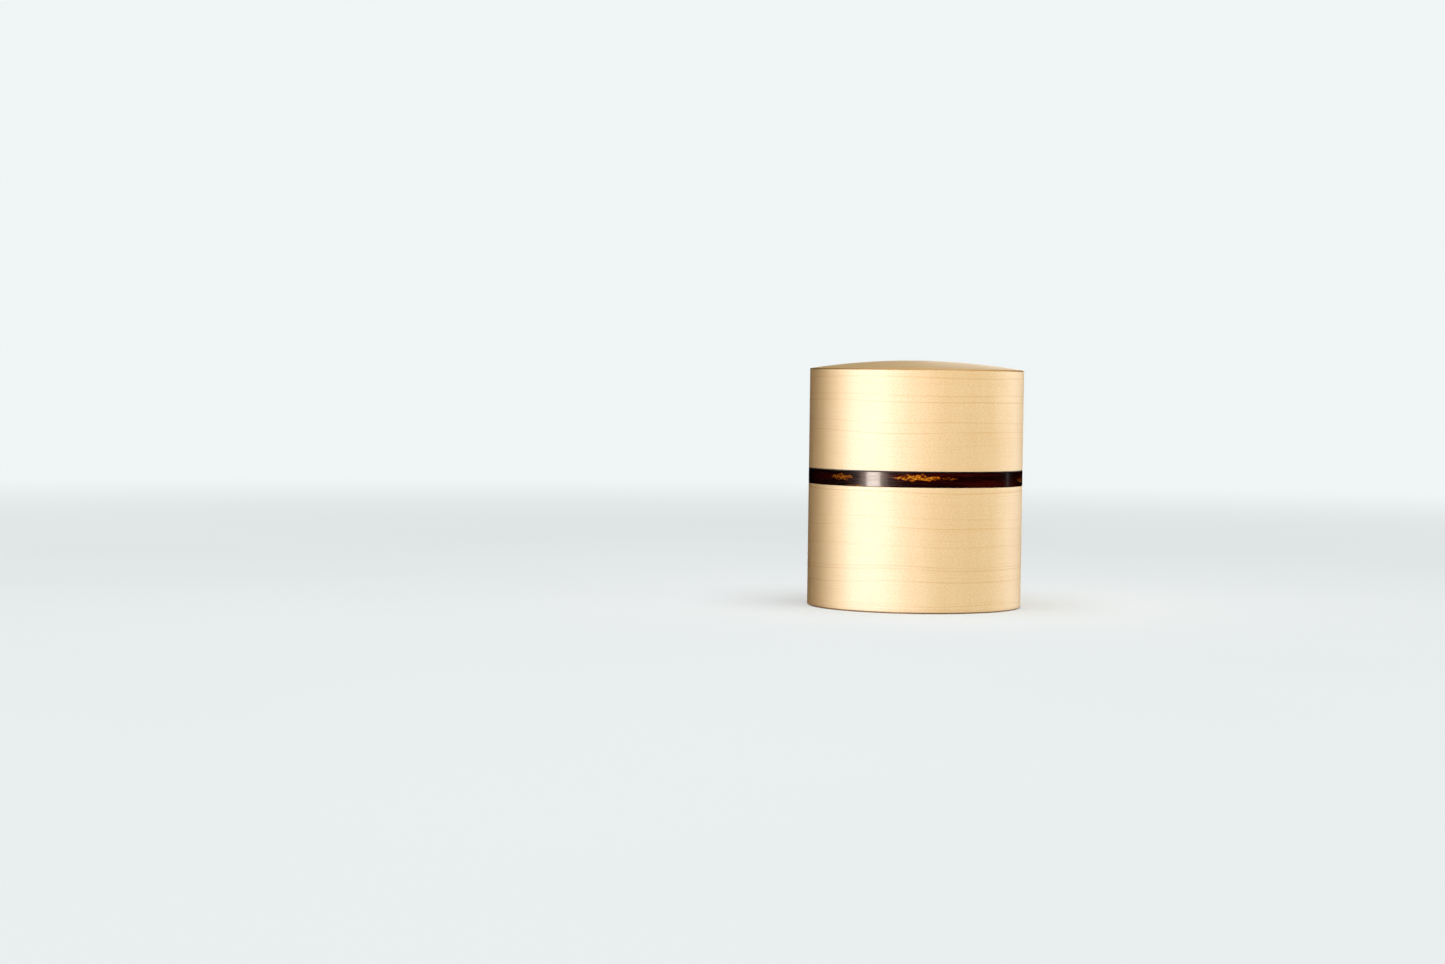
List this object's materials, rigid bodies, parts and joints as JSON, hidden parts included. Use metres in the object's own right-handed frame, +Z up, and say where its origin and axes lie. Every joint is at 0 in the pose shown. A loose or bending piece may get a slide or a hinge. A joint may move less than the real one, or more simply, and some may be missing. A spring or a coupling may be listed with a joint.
{
  "type": "tea caddy",
  "caption": "Round wooden tea caddy with a domed slip-on lid, a dark bark band at the body's rim, an inner sleeve and a knobbed inner lid.",
  "frame": {"origin": "centre of the foot, on the surface that the caddy stands on", "axes": "+Z up along the caddy's axis, -Y towards the side that the picture shows, seams of the face veneers towards +Y"},
  "size_m": [0.08, 0.08, 0.092],
  "materials": {
    "maple_veneer": "pale maple face veneer, satin, fine grain round the wall",
    "maple_top": "pale maple face of the domed top, satin",
    "cherry_bark": "polished cherry bark, dark maroon with golden lenticels, glossy",
    "bark_lining": "cherry bark lining, red-brown, semi-matt",
    "bark_edge": "cherry bark edging, dark, semi-gloss",
    "core_ply": "wound softwood ply, matt",
    "board_wood": "plain board, matt",
    "turned_maple": "turned maple, satin"
  },
  "bodies": {
    "body": {"body_side_veneer": "maple_veneer", "bark_band": "cherry_bark", "body_core_outer_ply": "core_ply", "body_core_inner_ply": "core_ply", "body_rim_bark": "bark_edge", "base_board": "board_wood", "base_bark": "bark_lining", "sleeve_outer_bark": "cherry_bark", "sleeve_core": "core_ply", "sleeve_bark_lining": "bark_lining", "sleeve_rim_bark": "bark_edge", "floor_bark": "bark_lining"},
    "lid": {"lid_top_veneer": "maple_top", "lid_top_board": "board_wood", "lid_side_veneer": "maple_veneer", "lid_core_outer_ply": "core_ply", "lid_core_inner_ply": "core_ply", "lid_bark_lining": "bark_lining", "lid_ceiling_bark": "bark_lining", "lid_mouth_bark": "bark_edge"},
    "inner_lid": {"inner_lid_disc": "turned_maple", "inner_lid_face_bark": "cherry_bark", "inner_lid_plug_ring": "core_ply", "inner_lid_plug_bark": "cherry_bark", "inner_lid_under_bark": "bark_lining", "inner_lid_knob": "turned_maple", "knob_peg": "board_wood"}
  },
  "joints": [
    {"name": "lid_lift", "type": "slide", "parent": "body", "child": "lid", "axis": [0, 0, 1], "range_m": [0, 0.09]},
    {"name": "inner_lid_lift", "type": "slide", "parent": "body", "child": "inner_lid", "axis": [0, 0, 1], "range_m": [0, 0.036]}
  ],
  "couplings": [
    {"joint": "inner_lid_lift", "follows": "lid_lift", "ratio": 0.4}
  ]
}
